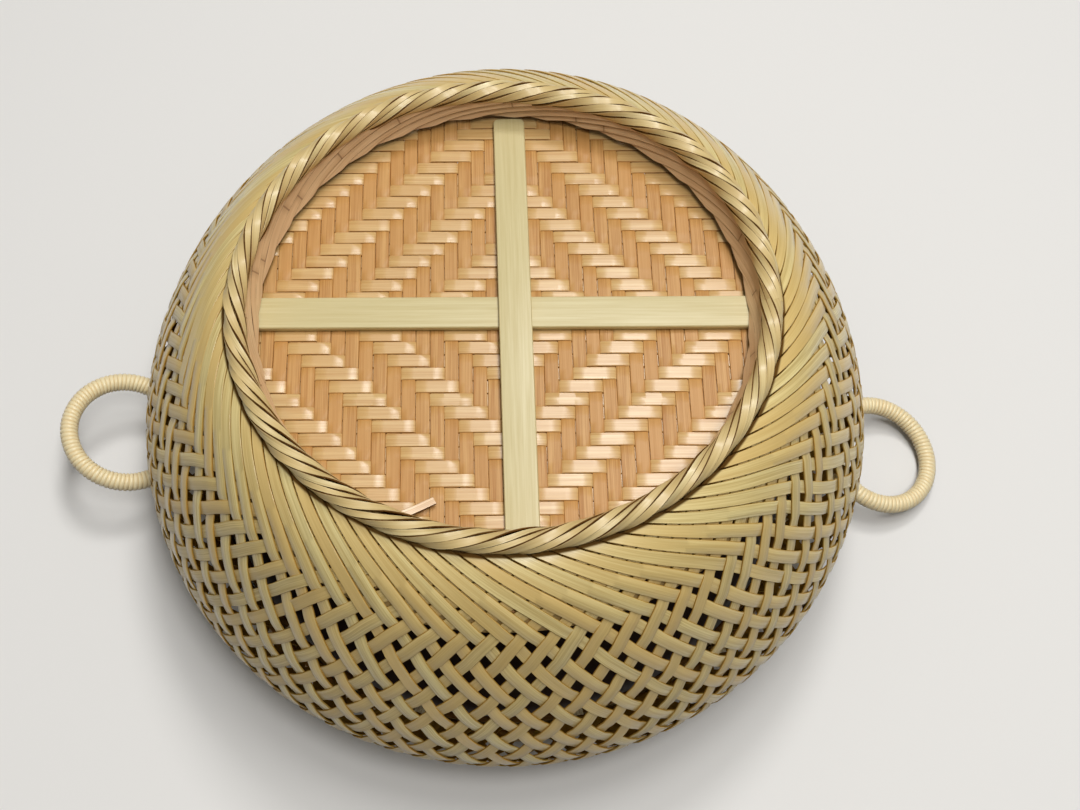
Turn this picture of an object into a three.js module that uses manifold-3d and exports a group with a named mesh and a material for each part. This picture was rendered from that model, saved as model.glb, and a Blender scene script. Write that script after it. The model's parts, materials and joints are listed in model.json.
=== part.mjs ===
// A squat bamboo flower basket with an open-twill wall, a rope-laid foot and two ring handles.
// It stands mouth down, as it is put away: z = 0 is the surface under the mouth rim, +Z points out
// of the foot, and the ring handles lie close to the X axis. All lengths are millimetres.
import * as THREE from 'three';
import { mergeVertices } from 'three/addons/utils/BufferGeometryUtils.js';
import Module from 'manifold-3d';

const wasm = await Module();
wasm.setup();

// Clearances
const GAP = 0.3;              // between pieces that touch on the real basket
const RING_PLAY = 0.6;        // round a ring handle, where it turns in its loop and passes the wall
const WRAP_CLEARANCE = 0.5;   // between a ring's cane and the flat facets of its winding

// Woven wall. Its radii are those of the middle of its thickness.
const WALL = 2.4;
const BELLY_RADIUS = 168.8;
const BELLY_HEIGHT = 51;
const MOUTH_RADIUS = 143;
const NECK_PULL = 6;          // each pull is how far the wall keeps its direction from that place
const BELLY_PULL_LOW = 26;
const BELLY_PULL_HIGH = 31;
const FOOT_PULL = 25;
const FOOT_SLOPE = 21.7;      // degrees below level at which the wall leaves the foot

// Openings of the weave: a plain grid of diamonds, in staggered rows, that stands for its many small gaps
const OPENING_COLUMNS = 24;
const OPENING_ROWS = 4;
const OPENING_SIZE = 0.55;    // of a diamond cell of the grid
const OPENINGS_FROM = 0.25;   // where the grid starts and ends, in shares of the wall's length
const OPENINGS_TO = 0.8;

// Rope-laid foot: strands laid round a core hoop, with a band of strip ends inside them
const FOOT_RADIUS = 110;
const FOOT_CENTRE_HEIGHT = 158;
const ROPE_RADIUS = 4.7;
const ROPE_CORE_RADIUS = 1.8;
const STRAND_COUNT = 4;
const STRAND_TURNS = 9;
const STRAND_EDGE_DROP = 0.6; // how far a strand's edges lie below its crown
const STRAND_THICKNESS = 2.3;
const STRAND_SPARE_ANGLE = 9; // degrees left open between neighbouring strands
const FOOT_FLAT = 0.5;        // depth of the flat on the rope where the basket stands in use
const WALL_END_ANGLE = -35;   // degrees round the rope where the wall tucks under it
const BAND_TOP_ANGLE = 228;   // degrees round the rope where the band's inner edge meets it
const BAND_LEAN = 2.9;        // how far the band's inner edge closes in from its top to its bottom
const BAND_THICKNESS = 2.5;

// Base: a mat with two crossed battens on its outside and a hoop on its inside
const MAT_DEPTH = 18;         // from the middle of the rope down to the mat
const MAT_THICKNESS = 2;
const BATTEN_THICKNESS = 3;
const LOWER_BATTEN_WIDTH = 15;
const UPPER_BATTEN_WIDTH = 14;
const BATTEN_TUCK = 1.5;      // how far a batten's end reaches under the band
const LOWER_BATTEN_TURN = 1.7; // degrees off the X axis
const UPPER_BATTEN_TURN = 3.2; // degrees off the Y axis
const LOWER_BATTEN_MIDDLE = [0, 1.7];  // where each batten's middle lies, in X and Y
const UPPER_BATTEN_MIDDLE = [4.9, -3];
const BASE_HOOP_THICKNESS = 3;
const BASE_HOOP_HEIGHT = 7;

// Mouth rim: two hoops that clamp the wall's edge, held by rattan ties
const HOOP_THICKNESS = 3.2;
const HOOP_HEIGHT = 11;
const TIE_COUNT = 12;
const TIE_WIDTH = 5;
const TIE_THICKNESS = 0.8;

// Ring handles: a bent cane wound with rattan, hung in a loop that passes through the wall
const RING_RADIUS = 26.8;
const RING_CORE_RADIUS = 3.2;
const WRAP_THICKNESS = 0.7;
const WRAP_WIDTH = 5.1;
const WRAP_LOOPS = 24;
const LEFT_RING_TILT = 17.5;  // degrees above level at which the left ring stands
const RIGHT_HANDLE_TURN = -0.5; // degrees round the basket from the X axis to each handle
const LEFT_HANDLE_TURN = 181.6;
const LOOP_RADIUS = 1.8;
const LOOP_RISE = 12;         // from the top of the neck up to the loop's middle, on the wall
const LOOP_TUCK = 3;          // how far the loop bends on inside the wall

// Facets
const ROUND_STEPS = 2 * OPENING_COLUMNS;
const TUBE_SIDES = 8;
const RING_STEPS = 36;
const STRAND_STEPS = 8;       // along one turn of a strand
const WRAP_STEPS = 8;         // along one loop of a winding
const LOOP_STEPS = 9;         // along each round end of a handle loop
const WALL_STEPS = [1, 4, OPENING_ROWS + 1, 4]; // in the neck, and below, among and above the openings
const BATTEN_STEPS = 8;       // along each half of a sprung batten

const FULL_TURN = 2 * Math.PI;
const radians = THREE.MathUtils.degToRad;
const degrees = THREE.MathUtils.radToDeg;
const flat = (radius, height) => new THREE.Vector2(radius, height);

// Heights of the rim, from the surface that the ties stand on
const TIE_BOTTOM = 0;
const HOOP_BOTTOM = TIE_BOTTOM + TIE_THICKNESS + GAP;
const HOOP_TOP = HOOP_BOTTOM + HOOP_HEIGHT;
const NECK_TOP = HOOP_TOP + GAP + TIE_THICKNESS + GAP;

// Heights of the base, from the rope down
const MAT_TOP = FOOT_CENTRE_HEIGHT - MAT_DEPTH;
const MAT_BOTTOM = MAT_TOP - MAT_THICKNESS;
const BATTEN_BOTTOM = MAT_TOP + GAP;
const BATTEN_TOP = BATTEN_BOTTOM + BATTEN_THICKNESS;
const BAND_BOTTOM = BATTEN_TOP + GAP;

const bandTop = aroundRope(BAND_TOP_ANGLE, ROPE_RADIUS + GAP);
const bandBottomRadius = bandTop.x - BAND_LEAN;
const wallCurve = makeWallCurve();

// Where a ring handle hangs: beside the wall, on the normal through the middle of its loop
const RING_TUBE_RADIUS = RING_CORE_RADIUS + WRAP_CLEARANCE + WRAP_THICKNESS;
const loopFoot = wallAtHeight(NECK_TOP + LOOP_RISE);
const hinge = loopFoot.point.clone().addScaledVector(loopFoot.out, WALL / 2 + RING_PLAY + RING_TUBE_RADIUS);
const loopReach = RING_TUBE_RADIUS + RING_PLAY + LOOP_RADIUS;
// The right ring leans on the surface that the basket stands on.
const rightRingTilt = -degrees(Math.asin((hinge.y - RING_TUBE_RADIUS - GAP) / (2 * RING_RADIUS)));

const bambooSkin = material(0xc9a95c, 0.45);
const bambooFlesh = material(0xc98d45, 0.5);
const bambooPale = material(0xd8c888, 0.5);
const bambooInner = material(0xa9794c, 0.6);
const rattan = material(0xe0c68a, 0.5);

function material(color, roughness) {
  return new THREE.MeshStandardMaterial({ color, roughness, metalness: 0 });
}

function part(name, geometry, look) {
  const mesh = new THREE.Mesh(geometry, look);
  mesh.name = name;
  return mesh;
}

// A point of the foot's cross-section, at an angle and a distance from the middle of the rope.
function aroundRope(angleInDegrees, distance) {
  const angle = radians(angleInDegrees);
  return flat(FOOT_RADIUS + distance * Math.cos(angle), FOOT_CENTRE_HEIGHT + distance * Math.sin(angle));
}

// The wall's profile: a straight neck in the rim, then out to the belly and in to the foot.
function makeWallCurve() {
  const foot = aroundRope(WALL_END_ANGLE, ROPE_RADIUS + GAP + WALL / 2);
  const slope = radians(FOOT_SLOPE);
  const belly = flat(BELLY_RADIUS, BELLY_HEIGHT);
  const curve = new THREE.CurvePath();
  curve.add(new THREE.LineCurve(flat(MOUTH_RADIUS, HOOP_BOTTOM), flat(MOUTH_RADIUS, NECK_TOP)));
  curve.add(new THREE.CubicBezierCurve(
    flat(MOUTH_RADIUS, NECK_TOP),
    flat(MOUTH_RADIUS, NECK_TOP + NECK_PULL),
    flat(BELLY_RADIUS, BELLY_HEIGHT - BELLY_PULL_LOW),
    belly));
  curve.add(new THREE.CubicBezierCurve(
    belly,
    flat(BELLY_RADIUS, BELLY_HEIGHT + BELLY_PULL_HIGH),
    flat(foot.x + FOOT_PULL * Math.cos(slope), foot.y - FOOT_PULL * Math.sin(slope)),
    foot));
  return curve;
}

// The outward normal of the wall for its tangent, which runs from the mouth to the foot.
function outOf(tangent) {
  return flat(tangent.y, -tangent.x);
}

// The middle of the wall, with its outward normal, at a share of its length from the mouth to the foot.
function wallAt(share) {
  return { point: wallCurve.getPoint(share), out: outOf(wallCurve.getTangent(share)) };
}

// The middle of the wall at a height. The profile rises all the way.
function wallAtHeight(height) {
  let low = 0;
  let high = 1;
  const halvings = 40;
  for (let i = 0; i < halvings; i++) {
    const middle = (low + high) / 2;
    if (wallCurve.getPoint(middle).y < height) low = middle;
    else high = middle;
  }
  return wallAt(low);
}

// The share of the wall's length at a row of its facets, or between two rows.
function shareAtRow(row) {
  const neck = wallCurve.curves[0].getLength() / wallCurve.getLength();
  const stops = [0, neck, OPENINGS_FROM, OPENINGS_TO, 1];
  let stretch = 0;
  let start = 0;
  while (row > start + WALL_STEPS[stretch]) {
    start += WALL_STEPS[stretch];
    stretch += 1;
  }
  return THREE.MathUtils.lerp(stops[stretch], stops[stretch + 1], (row - start) / WALL_STEPS[stretch]);
}

// A profile point of one of the wall's faces: side 1 is the outer face, and side -1 the inner one.
function wallFaceAt(row, side) {
  const { point, out } = wallAt(shareAtRow(row));
  return point.addScaledVector(out, (side * WALL) / 2);
}

// The radius at a height that lies against the wall's inner face, between two of its rows.
function radiusInsideWall(height) {
  let row = 0;
  while (wallFaceAt(row + 1, -1).y < height) row += 1;
  const low = wallFaceAt(row, -1);
  const run = wallFaceAt(row + 1, -1).sub(low);
  const radius = low.x + (run.x * (height - low.y)) / run.y;
  return radius - (GAP * run.length()) / run.y;
}

function solidFrom(geometry) {
  const bare = geometry.clone();
  bare.deleteAttribute('normal');
  bare.deleteAttribute('uv');
  const merged = mergeVertices(bare);
  return new wasm.Manifold(new wasm.Mesh({
    numProp: 3,
    vertProperties: merged.attributes.position.array,
    triVerts: new Uint32Array(merged.index.array),
  }));
}

function geometryFrom(solid) {
  const { vertProperties, triVerts } = solid.getMesh();
  const geometry = new THREE.BufferGeometry();
  geometry.setAttribute('position', new THREE.BufferAttribute(vertProperties, 3));
  geometry.setIndex(new THREE.BufferAttribute(triVerts, 1));
  return geometry;
}

// A solid of revolution about Z from an outline of radii and heights, listed anticlockwise.
function revolve(outline) {
  return new THREE.LatheGeometry([...outline, outline[0]], ROUND_STEPS).rotateX(Math.PI / 2);
}

// An endless tube from rings of points: each ring joins the next, and the last joins the first.
function endlessTube(rings) {
  const sides = rings[0].length;
  const positions = rings.flat().flatMap((point) => point.toArray());
  const index = [];
  rings.forEach((_, i) => {
    const here = i * sides;
    const next = ((i + 1) % rings.length) * sides;
    for (let j = 0; j < sides; j++) {
      const k = (j + 1) % sides;
      index.push(here + j, next + j, next + k, here + j, next + k, here + k);
    }
  });
  const geometry = new THREE.BufferGeometry();
  geometry.setAttribute('position', new THREE.Float32BufferAttribute(positions, 3));
  geometry.setIndex(index);
  return geometry;
}

// The least distance from the points of a winding to the edges that run along its next turn.
function leastGapToNextTurn(rings, stepsPerTurn) {
  const edge = new THREE.Line3();
  const nearest = new THREE.Vector3();
  let least = Infinity;
  rings.forEach((ring, i) => {
    for (let step = -2; step < 2; step++) {
      const start = rings[(i + stepsPerTurn + step) % rings.length];
      const end = rings[(i + stepsPerTurn + step + 1) % rings.length];
      for (let j = 0; j < start.length; j++) {
        edge.set(start[j], end[j]);
        for (const point of ring) {
          edge.closestPointToPoint(point, true, nearest);
          least = Math.min(least, nearest.distanceTo(point));
        }
      }
    }
  });
  return least;
}

// Woven wall, pierced where the rim's ties and the handles' loops pass through its weave
const tieAngles = Array.from({ length: TIE_COUNT }, (_, i) => (FULL_TURN * (i + 0.5)) / TIE_COUNT);
const handleAngles = { right: radians(RIGHT_HANDLE_TURN), left: radians(LEFT_HANDLE_TURN) };
const firstOpenRow = WALL_STEPS[0] + WALL_STEPS[1];
const lastOpenRow = firstOpenRow + WALL_STEPS[2];
const wallRowCount = lastOpenRow + WALL_STEPS[3];

function tieHole(angle) {
  const hole = new THREE.BoxGeometry(2 * WALL, TIE_WIDTH + 2 * GAP, TIE_THICKNESS + 2 * GAP);
  hole.translate(MOUTH_RADIUS, 0, HOOP_TOP + GAP + TIE_THICKNESS / 2);
  return hole.rotateZ(angle);
}

// A hole along one leg of a handle's loop: side 1 is the leg nearer the belly, side -1 the other.
function loopHole(angle, side) {
  const { point, out } = loopFoot;
  const radius = LOOP_RADIUS + GAP;
  const hole = new THREE.CylinderGeometry(radius, radius, 6 * WALL, 2 * TUBE_SIDES);
  hole.rotateZ(-Math.PI / 2).rotateY(-out.angle());
  hole.translate(point.x - side * loopReach * out.y, 0, point.y + side * loopReach * out.x);
  return hole.rotateZ(angle);
}

// A corner of the wall's facets: turns count facets round the wall, and rows run from mouth to foot.
function corner(turn, row) {
  return [(turn + ROUND_STEPS) % ROUND_STEPS, row];
}

function plainFacet(turn, row) {
  return [corner(turn, row), corner(turn + 1, row), corner(turn + 1, row + 1), corner(turn, row + 1)];
}

// The four facets round a diamond opening, whose cell reaches one facet and one row each way
function facetsRoundOpening(turn, row) {
  const ways = [[0, -1], [1, 0], [0, 1], [-1, 0]];
  const cell = ways.map(([aside, up]) => corner(turn + aside, row + up));
  const opening = ways.map(([aside, up]) => corner(turn + OPENING_SIZE * aside, row + OPENING_SIZE * up));
  return ways.map((_, i) => {
    const next = (i + 1) % ways.length;
    return [cell[i], cell[next], opening[next], opening[i]];
  });
}

// The facets that square off the openings at the first or the last row of their grid: up is 1 or -1
function facetsBesideOpenings(turn, row, up) {
  const tip = corner(turn, row + up);
  const before = corner(turn - up, row);
  const middle = corner(turn, row);
  const after = corner(turn + up, row);
  return [[before, middle, tip], [middle, after, tip]];
}

function wallFacets() {
  const facets = [];
  for (let turn = 0; turn < ROUND_STEPS; turn++) {
    for (let row = 0; row < wallRowCount; row++) {
      if (row < firstOpenRow || row >= lastOpenRow) facets.push(plainFacet(turn, row));
    }
    for (let row = firstOpenRow; row <= lastOpenRow; row++) {
      const betweenOpenings = (turn + row) % 2 === 0;
      if (betweenOpenings) continue;
      if (row === firstOpenRow) facets.push(...facetsBesideOpenings(turn, row, 1));
      else if (row === lastOpenRow) facets.push(...facetsBesideOpenings(turn, row, -1));
      else facets.push(...facetsRoundOpening(turn, row));
    }
  }
  return facets;
}

function pointOnWall([turn, row], side) {
  const place = wallFaceAt(row, side);
  const angle = (FULL_TURN * turn) / ROUND_STEPS;
  return new THREE.Vector3(place.x * Math.cos(angle), place.x * Math.sin(angle), place.y);
}

// A closed sheet from the wall's facets: both faces, and a strip along each edge that is not shared
function wallSheet(facets) {
  const corners = [];
  const addFace = (points) => {
    for (let i = 2; i < points.length; i++) corners.push(points[0], points[i - 1], points[i]);
  };
  const edgesOf = (facet) => facet.map((from, i) => [from, facet[(i + 1) % facet.length]]);
  const edges = new Set(facets.flatMap(edgesOf).map(String));
  for (const facet of facets) {
    addFace(facet.map((place) => pointOnWall(place, 1)));
    addFace(facet.toReversed().map((place) => pointOnWall(place, -1)));
    for (const [from, to] of edgesOf(facet)) {
      if (edges.has(String([to, from]))) continue;
      addFace([pointOnWall(to, 1), pointOnWall(from, 1), pointOnWall(from, -1), pointOnWall(to, -1)]);
    }
  }
  return new THREE.BufferGeometry().setFromPoints(corners);
}

function wovenWall() {
  const angles = Object.values(handleAngles);
  const loopHoles = angles.flatMap((angle) => [loopHole(angle, 1), loopHole(angle, -1)]);
  const holes = [...tieAngles.map(tieHole), ...loopHoles];
  const sheet = solidFrom(wallSheet(wallFacets()));
  const pierced = holes.reduce((wall, hole) => wall.subtract(solidFrom(hole)), sheet);
  return part('woven_wall', geometryFrom(pierced), bambooSkin);
}

// Foot
function strandRings(phase) {
  const edge = Math.PI / STRAND_COUNT - radians(STRAND_SPARE_ANGLE / 2);
  const crown = ROPE_RADIUS;
  const side = ROPE_RADIUS - STRAND_EDGE_DROP;
  const inside = ROPE_RADIUS - STRAND_THICKNESS;
  const section = [
    [-edge, side], [-edge / 3, crown], [edge / 3, crown], [edge, side],
    [edge, inside], [0, inside], [-edge, inside],
  ];
  const steps = STRAND_TURNS * STRAND_STEPS;
  return Array.from({ length: steps }, (_, i) => {
    const along = (FULL_TURN * i) / steps;
    const lay = STRAND_TURNS * along + phase;
    return section.map(([angle, distance]) => {
      const place = aroundRope(degrees(lay + angle), distance);
      return new THREE.Vector3(place.x * Math.cos(along), place.x * Math.sin(along), place.y);
    });
  });
}

function footRope() {
  const span = 4 * FOOT_RADIUS;
  const depth = 2 * ROPE_RADIUS;
  const above = new THREE.BoxGeometry(span, span, depth);
  above.translate(0, 0, FOOT_CENTRE_HEIGHT + ROPE_RADIUS - FOOT_FLAT + depth / 2);
  const strands = Array.from({ length: STRAND_COUNT }, (_, i) => {
    const rings = strandRings(Math.PI / 2 + (FULL_TURN * i) / STRAND_COUNT);
    const gap = leastGapToNextTurn(rings, STRAND_STEPS);
    console.log(`foot strand ${i + 1}: ${STRAND_TURNS} turns, least gap to itself ${gap.toFixed(2)} mm`);
    const flattened = solidFrom(endlessTube(rings)).subtract(solidFrom(above));
    return part(`foot_rope_strand_${i + 1}`, geometryFrom(flattened), bambooPale);
  });
  const hoop = new THREE.TorusGeometry(FOOT_RADIUS, ROPE_CORE_RADIUS, TUBE_SIDES, ROUND_STEPS);
  const core = part('foot_core_hoop', hoop, bambooInner);
  core.position.z = FOOT_CENTRE_HEIGHT;
  return [core, ...strands];
}

// The band's top edge follows the rope's underside, and its bottom edge holds down the battens.
function footBand() {
  const outerTopRadius = bandTop.x + BAND_THICKNESS;
  const reach = ROPE_RADIUS + GAP;
  const outerTop = FOOT_CENTRE_HEIGHT - Math.sqrt(reach ** 2 - (FOOT_RADIUS - outerTopRadius) ** 2);
  return part('foot_inner_band', revolve([
    flat(bandBottomRadius, BAND_BOTTOM),
    flat(bandBottomRadius + BAND_THICKNESS, BAND_BOTTOM),
    flat(outerTopRadius, outerTop),
    bandTop,
  ]), bambooInner);
}

// Base
function baseMat() {
  return part('base_mat', revolve([
    flat(0, MAT_BOTTOM),
    flat(radiusInsideWall(MAT_BOTTOM), MAT_BOTTOM),
    flat(radiusInsideWall(MAT_TOP), MAT_TOP),
    flat(0, MAT_TOP),
  ]), bambooFlesh);
}

// The hoop sprung into the wall under the mat, which keeps the mat up against the narrowing wall
function baseHoop() {
  const top = MAT_BOTTOM - GAP;
  const bottom = top - BASE_HOOP_HEIGHT;
  const inside = radiusInsideWall(top) - BASE_HOOP_THICKNESS;
  return part('base_hoop', revolve([
    flat(inside, bottom),
    flat(radiusInsideWall(bottom), bottom),
    flat(radiusInsideWall(top), top),
    flat(inside, top),
  ]), bambooInner);
}

// A batten. Rise is how far its middle is sprung up over what it crosses, and turn is in degrees from X.
function batten(name, width, rise, turn, [x, y]) {
  const end = bandBottomRadius + BATTEN_TUCK;
  const pull = end / 2;
  const bottom = BATTEN_BOTTOM;
  const top = BATTEN_TOP;
  const side = new THREE.Shape();
  side.moveTo(-end, bottom);
  side.bezierCurveTo(-pull, bottom, -pull, bottom + rise, 0, bottom + rise);
  side.bezierCurveTo(pull, bottom + rise, pull, bottom, end, bottom);
  side.lineTo(end, top);
  side.bezierCurveTo(pull, top, pull, top + rise, 0, top + rise);
  side.bezierCurveTo(-pull, top + rise, -pull, top, -end, top);
  const curveSegments = rise === 0 ? 1 : BATTEN_STEPS;
  const slat = new THREE.ExtrudeGeometry(side, { depth: width, bevelEnabled: false, curveSegments });
  slat.translate(0, 0, -width / 2).rotateX(Math.PI / 2);
  const mesh = part(name, slat, bambooPale);
  mesh.rotation.z = radians(turn);
  mesh.position.set(x, y, 0);
  return mesh;
}

function base() {
  const upperRise = BATTEN_THICKNESS + GAP;
  return [
    baseMat(),
    baseHoop(),
    batten('base_batten_lower', LOWER_BATTEN_WIDTH, 0, LOWER_BATTEN_TURN, LOWER_BATTEN_MIDDLE),
    batten('base_batten_upper', UPPER_BATTEN_WIDTH, upperRise, 90 + UPPER_BATTEN_TURN, UPPER_BATTEN_MIDDLE),
  ];
}

// Mouth rim
const outerHoopInside = MOUTH_RADIUS + WALL / 2 + GAP;
const innerHoopOutside = MOUTH_RADIUS - WALL / 2 - GAP;

function rimHoop(name, insideRadius) {
  const outsideRadius = insideRadius + HOOP_THICKNESS;
  return part(name, revolve([
    flat(insideRadius, HOOP_BOTTOM),
    flat(outsideRadius, HOOP_BOTTOM),
    flat(outsideRadius, HOOP_TOP),
    flat(insideRadius, HOOP_TOP),
  ]), bambooSkin);
}

function rectangle(path, left, bottom, right, top) {
  path.moveTo(left, bottom);
  path.lineTo(right, bottom);
  path.lineTo(right, top);
  path.lineTo(left, top);
  path.closePath();
  return path;
}

// A tie goes round both hoops, and through the wall above them.
function rimTie(angle, i) {
  const left = innerHoopOutside - HOOP_THICKNESS - GAP;
  const right = outerHoopInside + HOOP_THICKNESS + GAP;
  const bottom = TIE_BOTTOM + TIE_THICKNESS;
  const top = HOOP_TOP + GAP;
  const frame = rectangle(
    new THREE.Shape(), left - TIE_THICKNESS, TIE_BOTTOM, right + TIE_THICKNESS, top + TIE_THICKNESS);
  frame.holes.push(rectangle(new THREE.Path(), left, bottom, right, top));
  const tie = new THREE.ExtrudeGeometry(frame, { depth: TIE_WIDTH, bevelEnabled: false });
  tie.translate(0, 0, -TIE_WIDTH / 2).rotateX(Math.PI / 2);
  const mesh = part(`rim_tie_${String(i + 1).padStart(2, '0')}`, tie, rattan);
  mesh.rotation.z = angle;
  return mesh;
}

function mouthRim() {
  return [
    rimHoop('rim_outer_hoop', outerHoopInside),
    rimHoop('rim_inner_hoop', innerHoopOutside - HOOP_THICKNESS),
    ...tieAngles.map(rimTie),
  ];
}

// Ring handles. The winding is one flat strip of rattan that closes on itself round the ring.
function wrapRings() {
  const half = WRAP_WIDTH / 2;
  const inside = RING_CORE_RADIUS + WRAP_CLEARANCE;
  const middle = inside + WRAP_THICKNESS / 2;
  const section = [[-half, inside], [half, inside], [half, middle], [0, RING_TUBE_RADIUS], [-half, middle]];
  const lead = (FULL_TURN * RING_RADIUS) / WRAP_LOOPS;
  const steps = WRAP_LOOPS * WRAP_STEPS;
  return Array.from({ length: steps }, (_, i) => {
    const along = (FULL_TURN * i) / steps;
    const round = WRAP_LOOPS * along;
    const up = new THREE.Vector3(0, 0, 1);
    const outward = new THREE.Vector3(Math.cos(along), Math.sin(along), 0);
    const forward = new THREE.Vector3(-Math.sin(along), Math.cos(along), 0);
    const away = up.clone().multiplyScalar(Math.sin(round)).addScaledVector(outward, Math.cos(round));
    const run = forward.clone().multiplyScalar(lead);
    run.addScaledVector(up, FULL_TURN * middle * Math.cos(round));
    run.addScaledVector(outward, -FULL_TURN * middle * Math.sin(round));
    const across = run.cross(away).normalize();
    return section.map(([aside, distance]) => {
      const point = outward.clone().multiplyScalar(RING_RADIUS);
      return point.addScaledVector(away, distance).addScaledVector(across, aside);
    });
  });
}

// The rattan loop that carries a ring: round the ring, through the wall on both sides of it, and closed
// inside the wall
function handleLoop(side) {
  const { out } = loopFoot;
  const leg = RING_TUBE_RADIUS + RING_PLAY + WALL + GAP + LOOP_RADIUS;
  const path = [];
  for (let i = 0; i <= LOOP_STEPS; i++) {
    const angle = Math.PI * (i / LOOP_STEPS - 0.5);
    path.push(flat(loopReach * Math.cos(angle), loopReach * Math.sin(angle)));
  }
  for (let i = 0; i <= LOOP_STEPS; i++) {
    const angle = Math.PI * (i / LOOP_STEPS + 0.5);
    path.push(flat(LOOP_TUCK * Math.cos(angle) - leg, loopReach * Math.sin(angle)));
  }
  const middle = flat(0, 0);
  const points = path.map((point) => point.rotateAround(middle, out.angle()).add(hinge));
  const sideways = new THREE.Vector3(0, 1, 0);
  const rings = points.map((point, i) => {
    const before = points[(i + points.length - 1) % points.length];
    const after = points[(i + 1) % points.length];
    const run = after.clone().sub(before).normalize();
    const away = new THREE.Vector3(-run.y, 0, run.x);
    return Array.from({ length: TUBE_SIDES }, (_, j) => {
      const angle = (FULL_TURN * (j + 0.5)) / TUBE_SIDES;
      return new THREE.Vector3(point.x, 0, point.y)
        .addScaledVector(away, LOOP_RADIUS * Math.cos(angle))
        .addScaledVector(sideways, LOOP_RADIUS * Math.sin(angle));
    });
  });
  return part(`${side}_handle_loop`, endlessTube(rings), rattan);
}

function ringHandle(side, tilt) {
  const cane = new THREE.TorusGeometry(RING_RADIUS, RING_CORE_RADIUS, TUBE_SIDES, RING_STEPS);
  const core = part(`${side}_ring_core`, cane, bambooPale);
  const rings = wrapRings();
  const gap = leastGapToNextTurn(rings, WRAP_STEPS);
  console.log(`${side} ring winding: ${WRAP_LOOPS} loops, least gap to itself ${gap.toFixed(2)} mm`);
  const wrap = part(`${side}_ring_wrap`, endlessTube(rings), rattan);
  core.position.x = RING_RADIUS;
  wrap.position.x = RING_RADIUS;
  const swung = new THREE.Group();
  swung.add(core, wrap);
  swung.position.set(hinge.x, 0, hinge.y);
  swung.rotation.y = -radians(tilt);
  const handle = new THREE.Group();
  handle.add(swung, handleLoop(side));
  handle.rotation.z = handleAngles[side];
  return handle;
}

const basket = new THREE.Group();
basket.add(wovenWall(), ...footRope(), footBand(), ...base(), ...mouthRim());
basket.add(ringHandle('right', rightRingTilt), ringHandle('left', LEFT_RING_TILT));
console.log(`ring hinges: radius ${hinge.x.toFixed(2)}, height ${hinge.y.toFixed(2)}`);
console.log(`right ring tilt: ${rightRingTilt.toFixed(2)} degrees`);

export default basket;
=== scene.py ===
"""The looks of a squat bamboo flower basket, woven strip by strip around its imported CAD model.

Lengths are millimetres and angles degrees, and both are turned into Blender's units where a mesh is made.
The basket lies mouth down, with its foot up and its ring handles close to the X axis.
"""

import json
import math

import bpy
import numpy as np
from mathutils import Matrix, Vector


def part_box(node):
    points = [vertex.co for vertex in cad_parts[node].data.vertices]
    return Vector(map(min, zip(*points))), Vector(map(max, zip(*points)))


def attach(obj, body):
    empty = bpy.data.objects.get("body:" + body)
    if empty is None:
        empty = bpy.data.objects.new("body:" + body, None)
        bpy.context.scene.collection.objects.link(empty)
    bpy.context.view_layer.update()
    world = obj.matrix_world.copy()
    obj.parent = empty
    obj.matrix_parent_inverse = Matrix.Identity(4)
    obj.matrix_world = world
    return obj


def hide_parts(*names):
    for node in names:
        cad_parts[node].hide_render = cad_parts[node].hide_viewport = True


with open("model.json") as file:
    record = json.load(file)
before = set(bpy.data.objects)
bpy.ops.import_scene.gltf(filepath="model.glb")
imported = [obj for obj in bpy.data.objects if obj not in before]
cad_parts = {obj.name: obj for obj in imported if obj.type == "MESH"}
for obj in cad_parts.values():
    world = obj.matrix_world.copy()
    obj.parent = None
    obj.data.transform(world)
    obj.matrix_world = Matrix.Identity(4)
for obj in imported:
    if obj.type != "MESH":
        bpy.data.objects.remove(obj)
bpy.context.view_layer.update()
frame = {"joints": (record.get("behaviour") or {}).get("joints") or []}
random = np.random.default_rng(12)

MM = 0.001
TURN = 360.0
UP = np.array([0.0, 0.0, 1.0])

# Wall: the middle of its thickness, from the foot down to the mouth
FOOT_EDGE = (115.08, 154.44)
BELLY = (168.8, 51.0)
NECK_TOP = (143.0, 13.5)
MOUTH = (143.0, 1.1)
FOOT_PULL = (23.23, -9.24)
BELLY_PULL_UP = 31.0
BELLY_PULL_DOWN = 26.0
NECK_PULL = 6.0
FOOT_TUCK = 4.0            # how far the strips' line is drawn on under the rope
STRIPS_EACH_WAY = 76
STRIP_PLACE = 0.71         # where the strips cross in the first row, in spacings from the X axis
DRIFT_AT_FOOT = 0.9        # how far round a strip leans at the foot, in degrees for each millimetre down
DRIFT_RUN = 85.0           # it falls away over this length, by DRIFT_POWER, to no less than DRIFT_LEAST
DRIFT_POWER = 1.7
DRIFT_LEAST = 0.265
FIRST_OVER_ROW = 22.4      # how far round a strip has come where the inner family first comes out on top
TWILL_ROWS = (-1, -1, 1, 1)  # which family is on top before the plain weave: 1 is the outer one
WALL_STRIP_THICKNESS = 0.75
WALL_LIFT = 0.45           # how far a strip lies from the middle of the wall at a crossing
OUTER_WIDTH = 5.7
INNER_WIDTH = 5.6
LEAST_STRIP_GAP = 0.6
FOOT_TILT = 5.0            # how far the outer strips lean onto each other near the foot
OUTER_START = -1.1         # where the outer strips come out of their folds under the rope
OUTER_START_SKEW = 1.5
START_SLANT = 1.8          # the slant of the rope's edge across the strips
INNER_START = -0.6
END_TRIM = 1.9             # how far short of the mouth's edge the strips are cut
STRAIGHT_POINTS = 40       # points on the line of the wall, in each of its straight parts
BELLY_POINTS = 500
NECK_POINTS = 300
RING_ROWS = 0.3            # rows of crossings from one ring of a strip's points to the next
FIRST_RING = 2.2           # the least length from a strip's first end to its second ring
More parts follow.
